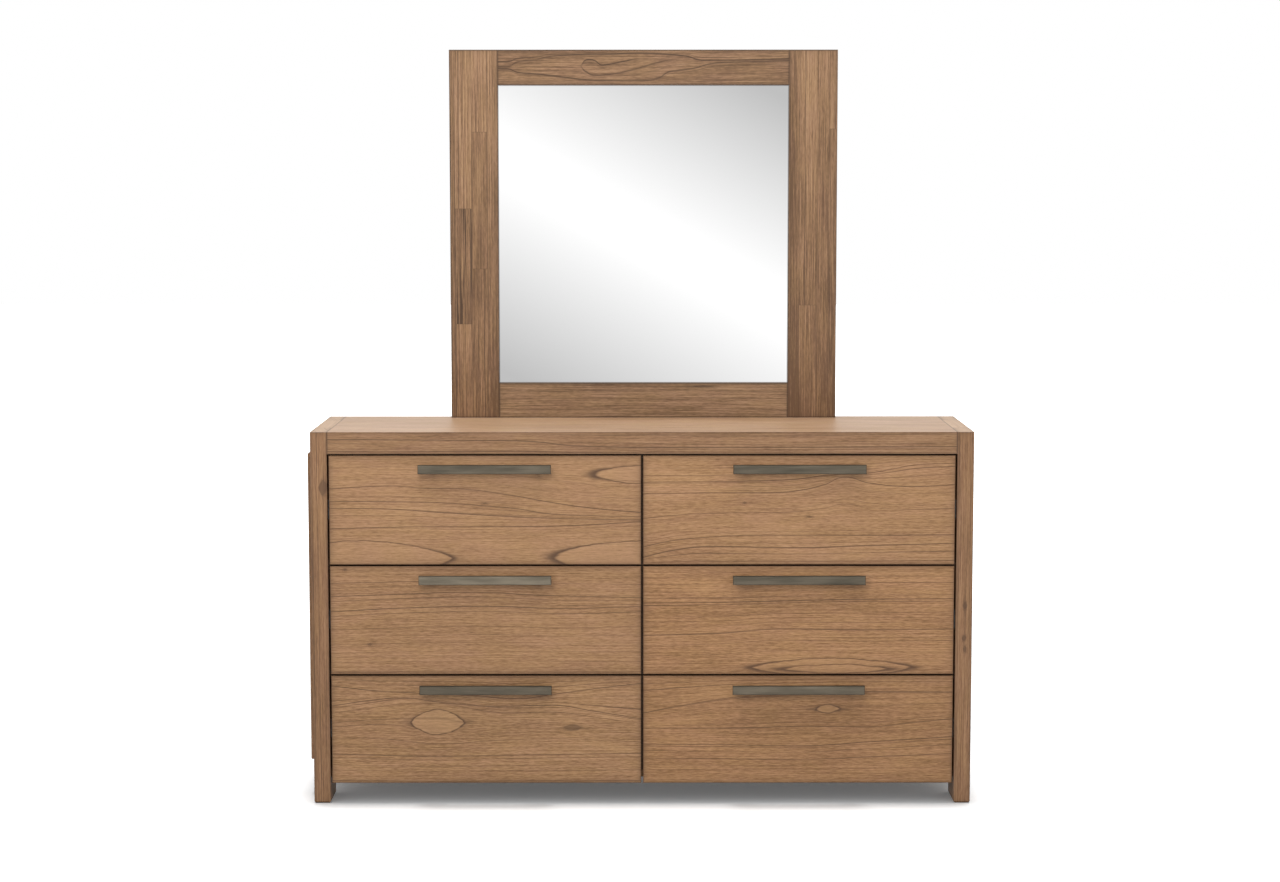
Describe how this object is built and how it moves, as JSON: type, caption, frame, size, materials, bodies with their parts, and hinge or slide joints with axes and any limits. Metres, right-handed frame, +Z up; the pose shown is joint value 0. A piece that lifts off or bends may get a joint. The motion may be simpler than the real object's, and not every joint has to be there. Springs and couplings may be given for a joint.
{
  "type": "dresser with mirror",
  "caption": "Low wide wooden dresser with inset drawers side by side on ball-bearing runners, bar handles, and a framed mirror fixed upright on its top.",
  "frame": {"origin": "on the floor, under the middle of the whole footprint", "axes": "+Z up, the drawer fronts face -Y, +X to the right of someone facing them"},
  "size_m": [1.618, 0.469, 1.84],
  "materials": {
    "back_board": "thin board, painted brown on the back",
    "case_wood": "brushed brown-stained veneer, satin",
    "drawer_base": "thin plywood, sealed",
    "drawer_wood": "pale solid wood, sealed",
    "front_wood": "brown-stained veneer with a bold horizontal grain, satin",
    "handle_metal": "dark pewter, brushed lengthways",
    "mirror_frame_wood": "brown-stained block-laminated wood, satin",
    "mirror_glass": "silvered flat glass with a polished edge",
    "runner_steel": "zinc-plated sheet steel",
    "screw_steel": "zinc-plated steel",
    "support_wood": "plain brown wood",
    "top_wood": "brown-stained veneer, satin, pale where the light falls on it"
  },
  "bodies": {
    "case": {"back_panel": "back_board", "bottom_panel": "case_wood", "centre_divider": "case_wood", "end_panels": "case_wood", "front_top_rail": "case_wood", "mirror_backing_board": "back_board", "mirror_glass": "mirror_glass", "mirror_rail_bottom": "mirror_frame_wood", "mirror_rail_top": "mirror_frame_wood", "mirror_stile_left": "mirror_frame_wood", "mirror_stile_right": "mirror_frame_wood", "mirror_support_screws": "screw_steel", "mirror_supports": "support_wood", "post_front_left": "case_wood", "post_front_right": "case_wood", "post_rear_left": "case_wood", "post_rear_right": "case_wood", "rear_top_rail": "case_wood", "row_stretchers": "case_wood", "runner_outer_members": "runner_steel", "side_board_left": "case_wood", "side_rails_lower": "case_wood", "side_rails_upper": "case_wood", "top_panel": "top_wood"},
    "drawer_upper_left": {"drawer_upper_left_front": "front_wood", "drawer_upper_left_box": "drawer_wood", "drawer_upper_left_base": "drawer_base", "drawer_upper_left_handle": "handle_metal", "drawer_upper_left_runner_inner": "runner_steel"},
    "runner_upper_left": {"drawer_upper_left_runner_middle": "runner_steel"},
    "drawer_upper_right": {"drawer_upper_right_front": "front_wood", "drawer_upper_right_box": "drawer_wood", "drawer_upper_right_base": "drawer_base", "drawer_upper_right_handle": "handle_metal", "drawer_upper_right_runner_inner": "runner_steel"},
    "runner_upper_right": {"drawer_upper_right_runner_middle": "runner_steel"},
    "drawer_middle_left": {"drawer_middle_left_front": "front_wood", "drawer_middle_left_box": "drawer_wood", "drawer_middle_left_base": "drawer_base", "drawer_middle_left_handle": "handle_metal", "drawer_middle_left_runner_inner": "runner_steel"},
    "runner_middle_left": {"drawer_middle_left_runner_middle": "runner_steel"},
    "drawer_middle_right": {"drawer_middle_right_front": "front_wood", "drawer_middle_right_box": "drawer_wood", "drawer_middle_right_base": "drawer_base", "drawer_middle_right_handle": "handle_metal", "drawer_middle_right_runner_inner": "runner_steel"},
    "runner_middle_right": {"drawer_middle_right_runner_middle": "runner_steel"},
    "drawer_lower_left": {"drawer_lower_left_front": "front_wood", "drawer_lower_left_box": "drawer_wood", "drawer_lower_left_base": "drawer_base", "drawer_lower_left_handle": "handle_metal", "drawer_lower_left_runner_inner": "runner_steel"},
    "runner_lower_left": {"drawer_lower_left_runner_middle": "runner_steel"},
    "drawer_lower_right": {"drawer_lower_right_front": "front_wood", "drawer_lower_right_box": "drawer_wood", "drawer_lower_right_base": "drawer_base", "drawer_lower_right_handle": "handle_metal", "drawer_lower_right_runner_inner": "runner_steel"},
    "runner_lower_right": {"drawer_lower_right_runner_middle": "runner_steel"}
  },
  "joints": [
    {"name": "drawer_upper_left_slide", "type": "slide", "parent": "case", "child": "drawer_upper_left", "axis": [0, -1, 0], "range_m": [0, 0.35]},
    {"name": "runner_upper_left_slide", "type": "slide", "parent": "case", "child": "runner_upper_left", "axis": [0, -1, 0], "range_m": [0, 0.175]},
    {"name": "drawer_upper_right_slide", "type": "slide", "parent": "case", "child": "drawer_upper_right", "axis": [0, -1, 0], "range_m": [0, 0.35]},
    {"name": "runner_upper_right_slide", "type": "slide", "parent": "case", "child": "runner_upper_right", "axis": [0, -1, 0], "range_m": [0, 0.175]},
    {"name": "drawer_middle_left_slide", "type": "slide", "parent": "case", "child": "drawer_middle_left", "axis": [0, -1, 0], "range_m": [0, 0.35]},
    {"name": "runner_middle_left_slide", "type": "slide", "parent": "case", "child": "runner_middle_left", "axis": [0, -1, 0], "range_m": [0, 0.175]},
    {"name": "drawer_middle_right_slide", "type": "slide", "parent": "case", "child": "drawer_middle_right", "axis": [0, -1, 0], "range_m": [0, 0.35]},
    {"name": "runner_middle_right_slide", "type": "slide", "parent": "case", "child": "runner_middle_right", "axis": [0, -1, 0], "range_m": [0, 0.175]},
    {"name": "drawer_lower_left_slide", "type": "slide", "parent": "case", "child": "drawer_lower_left", "axis": [0, -1, 0], "range_m": [0, 0.35]},
    {"name": "runner_lower_left_slide", "type": "slide", "parent": "case", "child": "runner_lower_left", "axis": [0, -1, 0], "range_m": [0, 0.175]},
    {"name": "drawer_lower_right_slide", "type": "slide", "parent": "case", "child": "drawer_lower_right", "axis": [0, -1, 0], "range_m": [0, 0.35]},
    {"name": "runner_lower_right_slide", "type": "slide", "parent": "case", "child": "runner_lower_right", "axis": [0, -1, 0], "range_m": [0, 0.175]}
  ],
  "couplings": [
    {"joint": "runner_upper_left_slide", "follows": "drawer_upper_left_slide", "ratio": 0.5},
    {"joint": "runner_upper_right_slide", "follows": "drawer_upper_right_slide", "ratio": 0.5},
    {"joint": "runner_middle_left_slide", "follows": "drawer_middle_left_slide", "ratio": 0.5},
    {"joint": "runner_middle_right_slide", "follows": "drawer_middle_right_slide", "ratio": 0.5},
    {"joint": "runner_lower_left_slide", "follows": "drawer_lower_left_slide", "ratio": 0.5},
    {"joint": "runner_lower_right_slide", "follows": "drawer_lower_right_slide", "ratio": 0.5}
  ]
}
